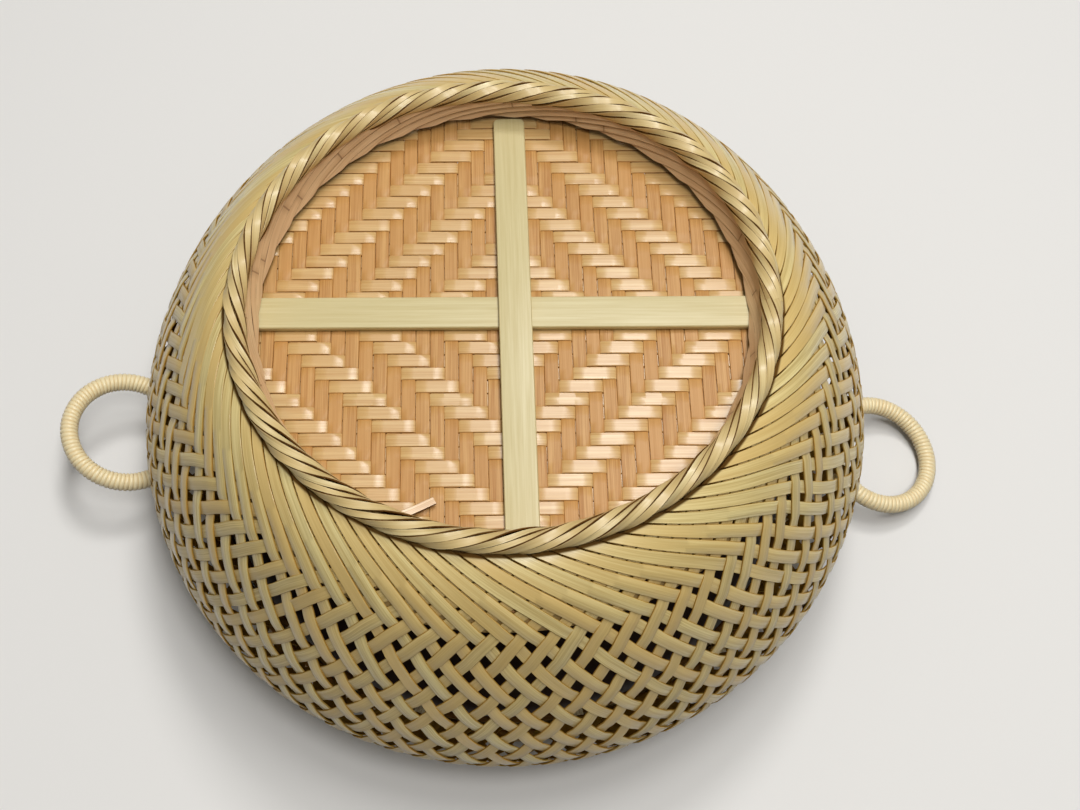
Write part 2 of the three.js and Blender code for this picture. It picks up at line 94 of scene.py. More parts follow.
LAST_RING = 0.5            # the least length from a strip's last ring but one to its end
WEAVE_SLOPE = (0.24, 0.76)  # the part of the way from crossing to crossing on which a strip slopes
LOOSE_RUN = (6.0, 26.0)    # the length from the foot over which the strips come free to stray
TILT_RUN = (6.0, 24.0)     # the length from the foot over which FOOT_TILT falls away
START_SPREAD = 0.3
STRAY = 0.22               # degrees round that a strip strays as a whole
WALL_SWAY = (0.2, 70.0)    # the size and wavelength of its sway, as for the sways below
WALL_WIDTH_SPREAD = 0.025

# Rope-laid foot and the band of strip ends inside it
FOOT_RADIUS = 110.0
FOOT_HEIGHT = 158.0
FOOT_TOP = 162.2
FOOT_OVAL = 1.5            # how much wider the foot is along X than the round it is drawn on
FOOT_DENT = 2.6            # how far its far side is pushed in, at FOOT_DENT_PLACE
FOOT_DENT_PLACE = 86.0
FOOT_DENT_WIDTH = 27.0
OVAL_RUN = 32.0            # the wall is round again this far down
ROPE_RADIUS = 4.7
ROPE_SWELL = 0.35          # how much thicker the rope is at ROPE_SWELL_PLACE and opposite
ROPE_SWELL_PLACE = -120.0
ROPE_STRANDS = 4
ROPE_TURNS = 9
STRIPS_IN_STRAND = 2
STRAND_ANGLE = 85.0
STRAND_CROWN = 0.9
STRAND_LEAN = 0.7          # how much of their place in the strand the strips lean by
STRIP_LAP = 9.0            # how far each strip leans onto the one beside it
ROPE_STRIP_THICKNESS = 0.85
ROPE_STRIP_DEPTH = 0.5     # how far inside the rope's radius its strips have their widths
ROPE_RINGS = 26            # rings of a strip's points in one turn of the rope
ROPE_SHARES = (0.7, 1.3)   # how unequal the strips of a strand are
STRAND_SWAY = (3.0, 120.0)
ROPE_STRIP_SWAY = (1.0, 60.0)
ROPE_RADIUS_SWAY = (0.12, 50.0)
CORE_RADIUS = 1.8
BAND_TOP = (106.65, 154.0)
BAND_BOTTOM = (103.75, 143.7)
BAND_STRIPS = 38
BAND_STRIP_SPAN = 24.0
BAND_STRIP_WIDTH = 4.8
BAND_STRIP_THICKNESS = 0.75
BAND_TILT = 10.0           # how far the strips lean onto each other
BAND_DEPTH = 1.0
BAND_CLIMB = (0.36, 1.3)   # where a strip's second ring and its last are, in shares of the band's height
BAND_RINGS = 14
BAND_SPREAD = 1.2
BAND_WIDTHS = (0.92, 1.08)
LOOSE_END = ((-45.0, -95.5, 144.0), (-34.0, -90.0, 142.2), (-25.5, -85.2, 141.9))
LOOSE_END_WIDTH = 3.3
LOOSE_END_POINTS = 9

# Base mat and battens
MAT_MIDDLE = 139.0
MAT_RADIUS = 131.0
MAT_LIFT = 0.42
MAT_STRIP_THICKNESS = 0.8
MAT_CENTRE = (1.2, 4.65)
COLUMN_PITCH = 6.0
ROW_PITCH = 6.11
COLUMN_TURN = 2.7
ROW_TURN = 1.6
MAT_STRIP_WIDTH = 5.75
TWILL = 3
TWILL_SHIFT = 2
MAT_FLAT = 0.36            # how far from a crossing a strip lies level, in spacings
MAT_END_SPREAD = 0.8
MAT_SWAY = (0.1, 80.0)
MAT_WIDTH_SPREAD = 0.012
BATTEN_MIDDLE = 141.8
BATTEN_THICKNESS = 3.0
BATTEN_END = 105.25
BATTEN_CORNER = 2.0
BATTEN_POINTS = 30         # in half its length, without its corner
LOWER_BATTEN_WIDTH = 15.0
UPPER_BATTEN_WIDTH = 14.0
LOWER_BATTEN_PLACE = (0.0, 1.7)
UPPER_BATTEN_PLACE = (4.9, -3.0)
BATTEN_RISE = 3.3
LOWER_BATTEN_TURN = 1.7
UPPER_BATTEN_TURN = 93.2
BASE_HOOP_TOP = (131.1, 137.7)
BASE_HOOP_BOTTOM = (135.6, 130.7)
BASE_HOOP_THICKNESS = 2.6

# Mouth rim
HOOP_STEPS = 192
HOOP_MIDDLE = 6.6
HOOP_HEIGHT = 11.0
HOOP_THICKNESS = 3.2
OUTER_HOOP_RADIUS = 146.1
INNER_HOOP_RADIUS = 139.9
TIES = 12
TIE_TURNS = 3
TIE_PITCH = 1.66
TIE_WIDTH = 1.56
TIE_THICKNESS = 0.72
TIE_BOX = (137.6, 0.4, 148.4, 12.8)
TIE_CORNER = 1.4
CORNER_POINTS = 7          # on each rounded corner, of ties and battens

# Ring handles
RING_RADIUS = 26.8
RING_STEPS = 72
RING_CORE_RADIUS = 3.2
WRAP_TURNS = 83
WRAP_STEPS = 16            # in one turn
WRAP_COVER = 0.97          # how much of the winding's pitch the rattan fills
WRAP_INSIDE = 3.5
WRAP_THICKNESS = 0.85
LOOP_RADIUS = 1.8
LOOP_REACH = 6.8
LOOP_LEG = 9.5
LOOP_TUCK = 3.0
LOOP_LEAN = -48.9
LOOP_BEND_STEPS = 14
LOOP_LEG_STEPS = 5

# Camera, as the photograph was taken: its focal length is in pixels of a frame 1080 wide
FRAME_WIDTH = 1080
FOCAL_LENGTH = 1538.1
CAMERA_PITCH = 1.114
CAMERA_ROLL = 0.021
CAMERA_TARGET = (16.0, -1.3, 60.0)
CAMERA_DISTANCE = 727.4
SENSOR_WIDTH = 36.0
NEAREST_SEEN = 10.0

# Light and floor round the basket. Their lengths are metres, powers watts and colours sRGB from 0 to 255
LAMPS = {                  # where each one is, how wide, and its power
    "key_light": ((0.15, 0.7, 1.65), 0.4, 8.5),
    "top_light": ((0.3, 0.22, 1.9), 0.6, 8.0),
    "front_light": ((0.3, -0.4, 1.9), 0.45, 9.5),
    "glint_light": ((0.33, -0.7, 1.8), 0.2, 2.5),
}
LAMP_TARGET = (0.0, 0.0, 0.1)
SKY_TINT = (1.0, 0.99, 0.97, 1.0)
SKY_AT_HORIZON = 0.06
SKY_OVERHEAD = 0.28
BACKDROP = (224, 222, 217)
FLOOR_HALF = 6.0
FLOOR_FADE = (0.5, 1.1)    # how far from the basket's middle the floor goes over into the backdrop
FLOOR_SHADE_REACH = 0.13          # how far from the middle the painted shade on the floor under the basket stays at full strength
FLOOR_COLOUR = (236, 234, 230)
FLOOR_BOUNCE_COLOUR = (84, 80, 76)
# Painted shade: the colour of the dark disc painted on the floor under the basket
FLOOR_SHADE_COLOUR = (84, 66, 56)
FLOOR_ROUGHNESS = 0.8
FLOOR_SPECULAR = 0.1

# Bamboo's grain and lustre, and the shade painted on it
FINE_ALONG = 0.035         # how the noises are stretched: along a strip, across it, and from strip to strip
BROAD_STRETCH = (0.012, 0.55, 1.7)
PATCH_STRETCH = (0.03, 0.12, 2.3)
FINE_SHARE = 0.6           # of the streaks; the broad noise has the rest
TONE_SHARE = 0.75          # how much a strip's own tone and its patches lean towards the other colour
PATCH_SHARE = 0.5
LEAN_FROM = 0.25
MARK_DEPTH = 0.75          # how strong a joint's mark is, and how much of it is at full strength
MARK_FULL = 0.4
HALO_DEPTH = 0.22          # the same for the stain round it, and its size in sizes of the mark
HALO_SIZE = 6
# Painted shade: how much darker a strip's underside, the side that faces inwards, is made
UNDERSIDE_SHADE_DEPTH = 0.8
# Painted shade: how dark a strip's first end is made where the rope and the strips over it hide it, and in
# what colour
HIDDEN_END_SHADE_DEPTH = 0.95
HIDDEN_END_SHADE_COLOUR = (96, 70, 38)
DULL_FROM = 0.8            # how far the darkening of an edge or of a shaded first end has to go for it to lose all its lustre
STREAK_RANGE = (0.2, 0.8)  # over these streaks the roughness goes from less to more than is stated
LESS_ROUGH = 0.06
MORE_ROUGH = 0.12
SPECULAR = 0.5
COAT_ROUGHNESS = 0.24
RELIEF_DEPTH = 0.08

# Strips' meshes: how sharp an edge is, and where their sides and ends lie in the map for baking
SHARP_ANGLE = 38.0
MAP_CELL = (0.98, 0.94)
MAP_SIDES = 0.97
MAP_END = 0.01
MAP_FIRST_END = (0.985, 0.25)
MAP_LAST_END = (0.985, 0.75)

# Sways: each is the sum of a few waves, unequal by this much, brought back to the size of one
SWAYS = 3
SWAY_SPREAD = (0.7, 1.4)
SWAY_SUM = 1.7

# Cross-sections of strips: across and out, each from -1 to 1, listed anticlockwise
FLAT = ((-1, -1), (1, -1), (1, 0.4), (0.92, 0.88), (0, 1), (-0.92, 0.88), (-1, 0.4))
SLAT = ((-1, -0.8), (-0.96, -1), (0.96, -1), (1, -0.8), (1, 0.6), (0.95, 0.88), (0.5, 1), (-0.5, 1),
        (-0.95, 0.88), (-1, 0.6))
PEEL = ((-1, -1), (1, -1), (1, -0.1), (0.62, 0.72), (0, 1), (-0.62, 0.72), (-1, -0.1))
ROUND = tuple((math.cos(math.tau * i / 10), math.sin(math.tau * i / 10)) for i in range(10))


def unit(vectors):
    return vectors / np.linalg.norm(vectors, axis=-1, keepdims=True)


def smooth(low, high, value):
    share = np.clip((value - low) / (high - low), 0, 1)
    return share * share * (3 - 2 * share)


def sway(along, size, wave):
    """A smooth random sway along a strip, of about this size and wavelength."""
    waves = wave * random.uniform(*SWAY_SPREAD, SWAYS)
    starts = random.uniform(0, math.tau, SWAYS)
    return size * sum(np.sin(math.tau * along / w + s) for w, s in zip(waves, starts)) / SWAY_SUM


def round_z(radius, height, degrees):
    """Points at these radii and heights, at these angles about Z."""
    angle = np.radians(degrees)
    return np.stack(np.broadcast_arrays(radius * np.cos(angle), radius * np.sin(angle), height), -1)


class Strips:
    """Closed strips swept along paths, gathered into one mesh.

    The mesh keeps two attributes for its material: grain holds each point's place along and across its
    strip and a number of the strip's own, and shade holds the strip's tone, how near the point is to an
    edge, and whether it is on the outside.
    """

    def __init__(self, profile):
        self.profile = np.array(profile, float)
        self.rows = []

    def add(self, path, out, width, thickness, tone=None, skew=0.0):
        """A strip whose first end is cut aslant, by this much along it for each millimetre across."""
        tangent = unit(np.gradient(path, axis=0))
        out = unit(out - tangent * (out * tangent).sum(-1, keepdims=True))
        side = np.cross(out, tangent)
        count = len(path)
        across = np.broadcast_to(width, count)[:, None] / 2 * self.profile[:, 0]
        up = np.broadcast_to(thickness, count)[:, None] / 2 * self.profile[:, 1]
        points = path[:, None] + side[:, None] * across[..., None] + out[:, None] * up[..., None]
        points[0] += tangent[0] * skew * across[0][:, None]
        along = np.r_[0, np.cumsum(np.linalg.norm(np.diff(path, axis=0), axis=1))]
        own = np.full_like(across, random.uniform(0, 1000))
        tone = random.uniform() if tone is None else tone
        grain = np.stack([np.repeat(along[:, None], len(self.profile), 1), across, own], -1)
        grain[0, :, 0] += skew * across[0]
        edge = np.broadcast_to(np.abs(self.profile[:, 0]), across.shape)
        outside = np.broadcast_to(self.profile[:, 1], across.shape)
        shade = np.stack([np.full_like(across, tone), edge, outside], -1)
        self.rows.append((points, grain, shade))

    def build(self, name):
        sides = len(self.profile)
        faces, maps, first = [], [], 0
        around = np.linalg.norm(np.roll(self.rows[0][0][0], -1, 0) - self.rows[0][0][0], axis=1)
        around = np.r_[0, np.cumsum(around)]
        longest = max(grain[-1, 0, 0] for _, grain, _ in self.rows)
        columns = max(1, round(math.sqrt(len(self.rows) * around[-1] / longest)))
        lines = math.ceil(len(self.rows) / columns)
        for number, (points, grain, _) in enumerate(self.rows):
            count = len(points)
            ring = np.arange(count - 1)[:, None] * sides + first
            here = np.arange(sides)
            after = (here + 1) % sides
            quads = np.stack(np.broadcast_arrays(ring + here, ring + after, ring + sides + after,
                                                 ring + sides + here), -1).reshape(-1, 4)
            faces.extend(quads.tolist())
            faces.append((first + here[::-1]).tolist())
            faces.append((first + (count - 1) * sides + here).tolist())
            corner = np.array([number % columns, number // columns]) / (columns, lines)
            cell = np.array(MAP_CELL) / (columns, lines)
            u = MAP_SIDES * grain[:, :, 0].mean(1) / longest
            v = around / around[-1]
            left, right = u[:-1, None], u[1:, None]
            low, high = v[:-1], v[1:]
            square = np.stack([np.stack(np.broadcast_arrays(left, low), -1),
                               np.stack(np.broadcast_arrays(left, high), -1),
                               np.stack(np.broadcast_arrays(right, high), -1),
                               np.stack(np.broadcast_arrays(right, low), -1)], -2).reshape(-1, 2)
            cap = self.profile / (2, 5)
            start = MAP_FIRST_END + MAP_END * cap[::-1]
            end = MAP_LAST_END + MAP_END * cap
            maps.append(corner + cell * np.vstack([square, start, end]))
            first += count * sides
        mesh = bpy.data.meshes.new(name)
        points = np.vstack([row[0].reshape(-1, 3) for row in self.rows]) * MM
        mesh.from_pydata(points.tolist(), [], faces)
        for attribute, index in (("grain", 1), ("shade", 2)):
            values = np.vstack([row[index].reshape(-1, 3) for row in self.rows])
            layer = mesh.attributes.new(attribute, "FLOAT_VECTOR", "POINT")
            layer.data.foreach_set("vector", values.astype(np.float32).ravel())
        bake = mesh.uv_layers.new(name="OFBake", do_init=False)
        bake.uv.foreach_set("vector", np.vstack(maps).astype(np.float32).ravel())
        mesh.polygons.foreach_set("use_smooth", [True] * len(mesh.polygons))
        mesh.set_sharp_from_angle(angle=math.radians(SHARP_ANGLE))
        mesh.validate()
        piece = bpy.data.objects.new(name, mesh)
        bpy.context.scene.collection.objects.link(piece)
        return piece


def dress(piece, body, slot, material, *nodes):
    """Gives a piece its material, the body it moves with and the CAD nodes that it stands for."""
    piece.data.materials.append(material)
    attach(piece, body)
    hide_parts(*nodes)
    return piece


# Materials

def linear(red, green, blue):
    """A colour written in sRGB from 0 to 255, as a shader takes it."""
    parts = [value / 255 for value in (red, green, blue)]
    return [p / 12.92 if p <= 0.04045 else ((p + 0.055) / 1.055) ** 2.4 for p in parts] + [1.0]


class Shader:
    """A material's node tree, built up from its outputs."""

    def __init__(self, name):
        self.material = bpy.data.materials.new(name)
        self.material.use_nodes = True
        self.nodes = self.material.node_tree.nodes
        self.links = self.material.node_tree.links
        self.surface = self.nodes["Principled BSDF"]

    def put(self, socket, value):
        if isinstance(value, bpy.types.NodeSocket):
            self.links.new(value, socket)
        else:
            socket.default_value = value

    def sum(self, operation, *values):
        node = self.nodes.new("ShaderNodeMath")
        node.operation = operation
        for socket, value in zip(node.inputs, values):
            self.put(socket, value)
        return node.outputs[0]

    def range(self, value, low, high, to_low=0.0, to_high=1.0):
        node = self.nodes.new("ShaderNodeMapRange")
        node.interpolation_type = "SMOOTHSTEP"
        for socket, number in zip(node.inputs, (value, low, high, to_low, to_high)):
            self.put(socket, number)
        return node.outputs[0]

    def mix(self, share, first, second, kind="MIX"):
        node = self.nodes.new("ShaderNodeMix")
        node.data_type = "RGBA"
        node.blend_type = kind
        self.put(node.inputs["Factor"], share)
        self.put(node.inputs["A"], first)
        self.put(node.inputs["B"], second)
        return node.outputs["Result"]

    def attribute(self, name):
        node = self.nodes.new("ShaderNodeAttribute")
        node.attribute_name = name
        return node.outputs["Vector"]

    def parts(self, vector):
        node = self.nodes.new("ShaderNodeSeparateXYZ")
        self.put(node.inputs[0], vector)
        return node.outputs

    def noise(self, vector, stretch, detail=2.0, roughness=0.5):
        scaled = self.nodes.new("ShaderNodeVectorMath")
        scaled.operation = "MULTIPLY"
        self.put(scaled.inputs[0], vector)
        scaled.inputs[1].default_value = stretch
        node = self.nodes.new("ShaderNodeTexNoise")
        self.links.new(scaled.outputs[0], node.inputs["Vector"])
        node.inputs["Scale"].default_value = 1.0
        node.inputs["Detail"].default_value = detail
        node.inputs["Roughness"].default_value = roughness
        return node.outputs["Fac"]


def bamboo(name, light, dark, other, mark=None, mark_spacing=170.0, mark_size=0.9, fibres=2.2, contrast=0.5,
           shift=0.6, edge=0.8, edge_from=0.91, edge_and_gap_shade_colour=None, hidden=0.0, slant=0.0, roughness=0.36,
           gloss=0.2, bump=0.35):
    """Split bamboo: lengthwise fibres from light to dark, strips that lean towards another colour, cut
    edges darkened partly for the real darker cut and partly as painted shade of the gaps between strips,
    painted shade on each strip's underside, the marks of the culm's joints where a colour is given for
    them, and painted shade on a first end where that much of it is hidden, up to a line that runs aslant
    across it."""
    shader = Shader(name)
    grain = shader.attribute("grain")
    tone, near_edge, outside = shader.parts(shader.attribute("shade"))
    along, across, own = shader.parts(grain)
    fine = shader.noise(grain, (FINE_ALONG, fibres, 1.0), detail=3.0, roughness=0.6)
    broad = shader.noise(grain, BROAD_STRETCH)
    patch = shader.noise(grain, PATCH_STRETCH)
    streaks = shader.sum("ADD", shader.sum("MULTIPLY", fine, FINE_SHARE),
                         shader.sum("MULTIPLY", broad, 1 - FINE_SHARE))
    colour = shader.mix(shader.range(streaks, 0.5 - contrast / 2, 0.5 + contrast / 2), light, dark)
    lean = shader.sum("ADD", shader.sum("MULTIPLY", tone, TONE_SHARE),
                      shader.sum("MULTIPLY", patch, PATCH_SHARE))
    colour = shader.mix(shader.range(lean, LEAN_FROM, 1.0, 0.0, shift), colour, other)
    if mark is not None:
        place = shader.sum("FRACT", shader.sum("DIVIDE", shader.sum("ADD", along, own), mark_spacing))
        aside = shader.sum("ABSOLUTE", shader.sum("SUBTRACT", place, 0.5))
        away = shader.sum("MULTIPLY", aside, mark_spacing)
        ring = shader.range(away, mark_size * MARK_FULL, mark_size, MARK_DEPTH, 0.0)
        halo = shader.range(away, mark_size, mark_size * HALO_SIZE, HALO_DEPTH, 0.0)
        colour = shader.mix(shader.sum("MAXIMUM", ring, halo), colour, mark)
    # Cut edges darkened: partly the real darker cut, partly painted shade in the gaps between strips
    edge_and_gap_shade = shader.range(near_edge, edge_from, 1.0, 0.0, edge)
    colour = shader.mix(edge_and_gap_shade, colour, edge_and_gap_shade_colour or dark, "MULTIPLY")
    # Painted shade: the underside of every strip is darkened towards its dark colour
    shade_beneath = shader.range(outside, -1.0, 0.0, UNDERSIDE_SHADE_DEPTH, 0.0)
    colour = shader.mix(shade_beneath, colour, dark, "MULTIPLY")
    dull = edge_and_gap_shade
    # Painted shade over the first end, for the part that lies hidden under the rope and the strips over it
    if hidden:
        depth = shader.sum("SUBTRACT", along, shader.sum("MULTIPLY", across, slant))
        hidden_end_shade = shader.range(depth, hidden / 2, hidden, HIDDEN_END_SHADE_DEPTH, 0.0)
        colour = shader.mix(hidden_end_shade, colour, linear(*HIDDEN_END_SHADE_COLOUR), "MULTIPLY")
        dull = shader.sum("MAXIMUM", edge_and_gap_shade, hidden_end_shade)
    shader.put(shader.surface.inputs["Base Color"], colour)
    rough = shader.range(streaks, *STREAK_RANGE, roughness - LESS_ROUGH, roughness + MORE_ROUGH)
    shader.put(shader.surface.inputs["Roughness"], rough)
    shader.put(shader.surface.inputs["Coat Weight"], shader.range(dull, 0.0, DULL_FROM, gloss, 0.0))
    shine = shader.range(dull, 0.0, DULL_FROM, SPECULAR, 0.0)
    shader.put(shader.surface.inputs["Specular IOR Level"], shine)
    shader.surface.inputs["Coat Roughness"].default_value = COAT_ROUGHNESS
    relief = shader.nodes.new("ShaderNodeBump")
    relief.inputs["Strength"].default_value = bump
    relief.inputs["Distance"].default_value = RELIEF_DEPTH * MM
    shader.put(relief.inputs["Height"], streaks)
    shader.put(shader.surface.inputs["Normal"], relief.outputs[0])
    return shader.material


# The wall strips' first ends carry painted shade where they go in under the rope
wall_outer_bamboo = bamboo("wall_outer_bamboo", linear(240, 222, 158), linear(202, 176, 108),
                           linear(222, 186, 112), contrast=0.38, shift=0.75, gloss=0.6, hidden=4.4,
                           slant=START_SLANT)
wall_inner_bamboo = bamboo("wall_inner_bamboo", linear(230, 210, 148), linear(192, 166, 102),
                           linear(212, 178, 108), contrast=0.38, shift=0.75, hidden=12.0,
                           slant=-START_SLANT)
# The rope's and the band's dark edge colours are partly the darker cut and partly painted shade in the
# crevices between their strips
rope_bamboo = bamboo("rope_bamboo", linear(234, 215, 160), linear(196, 166, 104), linear(212, 182, 120),
                     edge=0.95, edge_and_gap_shade_colour=linear(110, 78, 44), roughness=0.46, gloss=0.3)
band_bamboo = bamboo("band_bamboo", linear(240, 208, 162), linear(200, 158, 112), linear(222, 182, 136),
                     mark=linear(140, 100, 68), mark_spacing=70.0, mark_size=0.6,
                     edge=0.95, edge_from=0.84, edge_and_gap_shade_colour=linear(104, 70, 44))
# The mat's rows and columns are one bamboo: the rows' lighter colours are a painted sheen, for light that
# glances along them
mat_row_bamboo_painted_sheen = bamboo("mat_row_bamboo_painted_sheen", linear(220, 186, 126), linear(192, 144, 80), linear(206, 162, 98),
                        fibres=3.0, roughness=0.34, gloss=0.35, shift=0.4, edge=0.5, contrast=0.4)
mat_column_bamboo = bamboo("mat_column_bamboo", linear(210, 162, 94), linear(172, 116, 52),
                           linear(196, 142, 74), fibres=3.0, roughness=0.52, gloss=0.05, contrast=0.4,
                           edge=0.5)
batten_bamboo = bamboo("batten_bamboo", linear(212, 198, 148), linear(194, 176, 120), linear(205, 189, 136),
                       fibres=1.6, roughness=0.42, gloss=0.1, edge=0.15)
hoop_bamboo = bamboo("hoop_bamboo", linear(204, 176, 116), linear(164, 128, 74), linear(184, 146, 86),
                     mark=linear(120, 90, 50), roughness=0.42)
rattan = bamboo("rattan", linear(254, 242, 200), linear(240, 214, 162), linear(249, 229, 182),
                fibres=2.8, roughness=0.34, gloss=0.25, edge=0.8)
cane = bamboo("cane", linear(206, 172, 112), linear(168, 130, 78), linear(186, 150, 94))


# Woven wall

def bezier(start, first, second, end, count):
    share = np.linspace(0, 1, count)[:, None]
    rest = 1 - share
    points = [np.array(p, float) for p in (start, first, second, end)]
    return (rest ** 3 * points[0] + 3 * rest ** 2 * share * points[1]
            + 3 * rest * share ** 2 * points[2] + share ** 3 * points[3])


def wall_profile():
    """Lengths down the wall from the foot, with its radii and heights there."""
    tuck = np.array(FOOT_EDGE) - FOOT_TUCK * unit(np.array(FOOT_PULL))
    into_foot = np.linspace(tuck, FOOT_EDGE, STRAIGHT_POINTS)
    above_belly = np.add(BELLY, (0, BELLY_PULL_UP))
    below_belly = np.add(BELLY, (0, -BELLY_PULL_DOWN))
    above_neck = np.add(NECK_TOP, (0, NECK_PULL))
    to_belly = bezier(FOOT_EDGE, np.add(FOOT_EDGE, FOOT_PULL), above_belly, BELLY, BELLY_POINTS)
    to_neck = bezier(BELLY, below_belly, above_neck, NECK_TOP, NECK_POINTS)
    to_mouth = np.linspace(NECK_TOP, MOUTH, STRAIGHT_POINTS)
    profile = np.vstack([into_foot[:-1], to_belly, to_neck[1:], to_mouth[1:]])
    lengths = np.r_[0, np.cumsum(np.linalg.norm(np.diff(profile, axis=0), axis=1))]
    return lengths - FOOT_TUCK, profile[:, 0], profile[:, 1]


wall_length, wall_radius, wall_height = wall_profile()
drift_left = np.maximum(1 - wall_length / DRIFT_RUN, 0)
wall_drift = np.maximum(DRIFT_AT_FOOT * drift_left ** DRIFT_POWER, DRIFT_LEAST)
wall_turn = np.r_[0, np.cumsum((wall_drift[1:] + wall_drift[:-1]) / 2 * np.diff(wall_length))]
wall_turn -= np.interp(0, wall_length, wall_turn) + FIRST_OVER_ROW
strip_spacing = TURN / STRIPS_EACH_WAY
wall_rows = wall_turn / (strip_spacing / 2)


def foot_oval(degrees):
    """How far the foot bulges out of the round at these angles."""
    from_dent = (np.asarray(degrees) - FOOT_DENT_PLACE + TURN / 2) % TURN - TURN / 2
    dent = FOOT_DENT * np.exp(-(from_dent / FOOT_DENT_WIDTH) ** 2)
    return FOOT_OVAL * np.cos(2 * np.radians(degrees)) - dent


def row_side(row):
    """1 where the outer family is on top in this row of crossings, and -1 where the inner one is."""
    if row < 0:
        return 1
    if row < len(TWILL_ROWS):
        return TWILL_ROWS[row]
    return -1 if row % 2 == 0 else 1


def weave_height(rows):
    """How high the outer family lies at these rows, from -1 to 1: flat at a crossing, sloping between."""
    low = np.floor(rows).astype(int)
    here = np.array([row_side(row) for row in low])
    after = np.array([row_side(row + 1) for row in low])
    return here + (after - here) * smooth(*WEAVE_SLOPE, rows - low)


def wall_strips(name, direction, width, start):
    """One family of the wall's strips. Direction is 1 for the outer family, which leans anticlockwise on
    its way down, lies like shingles near the foot and starts from folds there, and -1 for the inner one."""
    strips = Strips(FLAT)
    rows = np.arange(wall_rows[0], wall_rows[-1], RING_ROWS)
    steps = np.interp(rows, wall_rows, wall_length)
    for number in range(STRIPS_EACH_WAY):
        begin = start + random.uniform(-START_SPREAD, START_SPREAD)
        end = wall_length[-1] - END_TRIM
        between = (steps > begin + FIRST_RING) & (steps < end - LAST_RING)
        length = np.r_[begin, steps[between], end]
        radius = np.interp(length, wall_length, wall_radius)
        height = np.interp(length, wall_length, wall_height)
        turn = np.interp(length, wall_length, wall_turn)
        lean = np.arctan(radius * np.radians(np.interp(length, wall_length, wall_drift)))
        row = np.interp(length, wall_length, wall_rows)
        down_radius = np.gradient(radius, length)
        down_height = np.gradient(height, length)
        loose = smooth(*LOOSE_RUN, length)
        angle = strip_spacing * (number + STRIP_PLACE) + direction * turn
        angle = angle + loose * (random.normal(0, STRAY) + sway(length, *WALL_SWAY))
        offset = direction * WALL_LIFT * weave_height(row)
        bulge = foot_oval(angle) * (1 - smooth(0, OVAL_RUN, length))
        path = round_z(radius + bulge - down_height * offset, height + down_radius * offset, angle)
        out = round_z(-down_height, down_radius, angle)
        room = np.radians(strip_spacing) * radius * np.cos(lean) - LEAST_STRIP_GAP
        fitted = np.minimum(width * random.normal(1, WALL_WIDTH_SPREAD), room)
        if direction > 0:
            tilt = math.radians(FOOT_TILT) * (1 - smooth(*TILT_RUN, length))[:, None]
            across = np.cross(out, unit(np.gradient(path, axis=0)))
            strips.add(path, out + across * tilt, fitted, WALL_STRIP_THICKNESS, skew=OUTER_START_SKEW)
        else:
            strips.add(path, out, fitted, WALL_STRIP_THICKNESS, skew=-math.tan(lean[0]))
    return strips.build(name)


dress(wall_strips("wall_strips_outer", 1, OUTER_WIDTH, OUTER_START), "basket", "wall_bamboo",
      wall_outer_bamboo, "woven_wall")
dress(wall_strips("wall_strips_inner", -1, INNER_WIDTH, INNER_START), "basket", "wall_bamboo",
      wall_inner_bamboo, "woven_wall")


# Foot

def around_rope(degrees, distance):
    angle = np.radians(degrees)
    return FOOT_RADIUS + distance * np.cos(angle), FOOT_HEIGHT + distance * np.sin(angle)


def foot_rope():
    """Strands that lie round the core like a rope's, each of a few strips of unequal width side by side."""
    strips = Strips(FLAT)
    along = np.linspace(0, TURN, ROPE_TURNS * ROPE_RINGS + 1)
    lay = math.atan(ROPE_TURNS * ROPE_RADIUS / FOOT_RADIUS)
    closed = np.sin(np.radians(along / 2))
    swell = ROPE_SWELL * np.cos(np.radians(2 * (along - ROPE_SWELL_PLACE)))
    for strand in range(ROPE_STRANDS):
        shift = sway(along, *STRAND_SWAY) * closed
        shares = random.uniform(*ROPE_SHARES, STRIPS_IN_STRAND)
        edges = STRAND_ANGLE * (np.r_[0, np.cumsum(shares)] / shares.sum() - 0.5)
        for low, high in zip(edges, edges[1:]):
            beside = (low + high) / 2
            width = math.radians(high - low) * (ROPE_RADIUS - ROPE_STRIP_DEPTH) * math.cos(lay)
            own = sway(along, *ROPE_STRIP_SWAY) * closed
            degrees = ROPE_TURNS * along + 90 + TURN * strand / ROPE_STRANDS + beside + shift + own
            drop = STRAND_CROWN * (beside / (STRAND_ANGLE / 2)) ** 2
            distance = ROPE_RADIUS + swell - drop - ROPE_STRIP_THICKNESS / 2
            distance = distance + sway(along, *ROPE_RADIUS_SWAY) * closed
            radius, height = around_rope(degrees, distance)
            level = np.minimum(height, FOOT_TOP - ROPE_STRIP_THICKNESS)
            path = round_z(radius + foot_oval(along), level, along)
            leaning = np.radians(degrees + STRAND_LEAN * beside + STRIP_LAP)
            out = round_z(np.cos(leaning), np.sin(leaning), along)
            strips.add(path, out, width, ROPE_STRIP_THICKNESS)
    return strips.build("foot_rope")


strand_names = [f"foot_rope_strand_{i + 1}" for i in range(ROPE_STRANDS)]
dress(foot_rope(), "basket", "rope_bamboo", rope_bamboo, *strand_names)


hoop_angles = np.linspace(90, 90 + TURN, HOOP_STEPS + 1)


def hoop(name, profile, radius, height, width, thickness, lean=0.0):
    """A hoop bent from one length, with its butted ends at the back. Lean tips its outside up."""
    strips = Strips(profile)
    angle = hoop_angles
    path = round_z(radius + np.zeros_like(angle), np.full_like(angle, height), angle)
    tip = math.radians(lean)
    out = round_z(np.full_like(angle, math.cos(tip)), np.full_like(angle, math.sin(tip)), angle)
    strips.add(path, out, width, thickness, tone=0.5)
    return strips.build(name)


dress(hoop("foot_core", ROUND, FOOT_RADIUS + foot_oval(hoop_angles), FOOT_HEIGHT, 2 * CORE_RADIUS,
           2 * CORE_RADIUS), "basket", "hoop_bamboo", hoop_bamboo, "foot_core_hoop")


